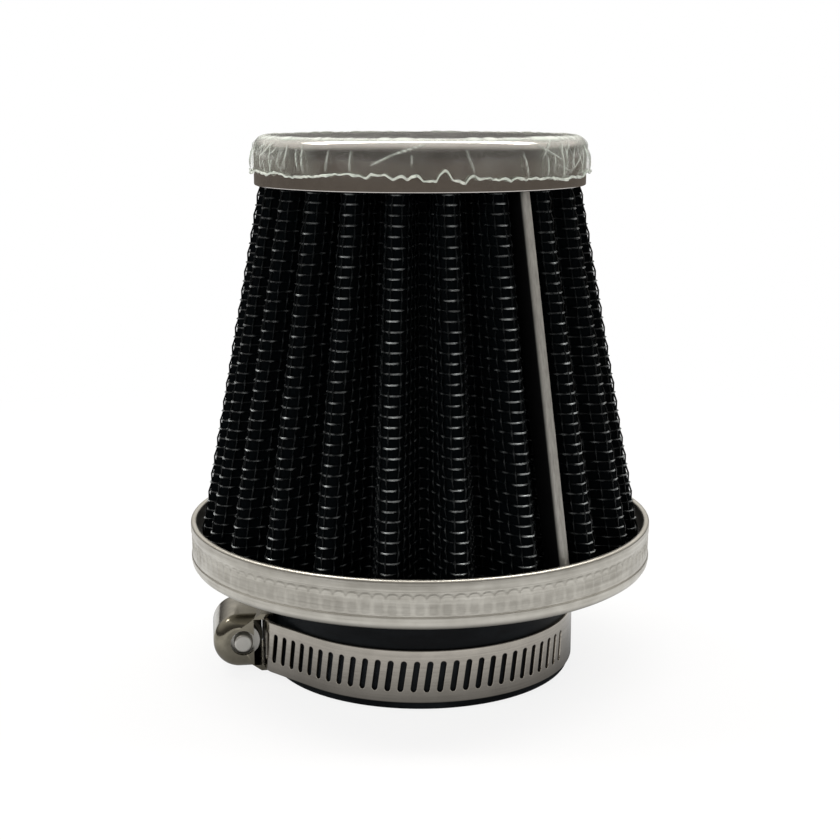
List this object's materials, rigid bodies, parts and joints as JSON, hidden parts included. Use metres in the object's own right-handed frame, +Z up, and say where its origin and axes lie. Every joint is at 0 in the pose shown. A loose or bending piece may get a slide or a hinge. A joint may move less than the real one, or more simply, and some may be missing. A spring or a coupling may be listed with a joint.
{
  "type": "clamp-on cone air filter",
  "caption": "Cone-shaped pleated air filter with a bright end cap, a fluted metal base ring and a rubber neck that a slotted worm-drive hose clamp tightens onto an engine's air inlet.",
  "frame": {"origin": "centre of the rubber neck's bore, at its open end, which the filter stands on", "axes": "+Z up along the filter's axis from the neck's open end to the end cap; -Y is the side that the picture shows; +X is to the right of it"},
  "size_m": [0.0894, 0.0894, 0.1026],
  "materials": {
    "neck_rubber": "matt, faintly greyed, with mould marks",
    "ring_aluminium": "satin, lightly scuffed",
    "resin": "cast, dull black",
    "black_wire": "black coated wire with a satin sheen",
    "filter_cloth": "black felt",
    "strip_steel": "dark grey satin",
    "cap_chrome": "mirror bright",
    "film": "clear, creased",
    "clamp_steel": "bright rolled stainless",
    "screw_steel": "zinc plated"
  },
  "bodies": {
    "filter": {"neck_sleeve": "neck_rubber", "base_ring": "ring_aluminium", "base_potting": "resin", "outer_mesh": "black_wire", "filter_media": "filter_cloth", "inner_mesh": "black_wire", "seam_strip": "strip_steel", "cap_potting": "resin", "end_cap": "cap_chrome", "cap_film": "film", "clamp_band": "clamp_steel", "clamp_housing": "clamp_steel"},
    "worm_screw": {"clamp_screw": "screw_steel"}
  },
  "joints": [
    {"name": "worm_screw_turn", "type": "hinge", "parent": "filter", "child": "worm_screw", "pos_m": [-0.03498, -0.00492, 0.0066], "axis": [-0.1392, 0.9903, 0], "continuous": true}
  ]
}
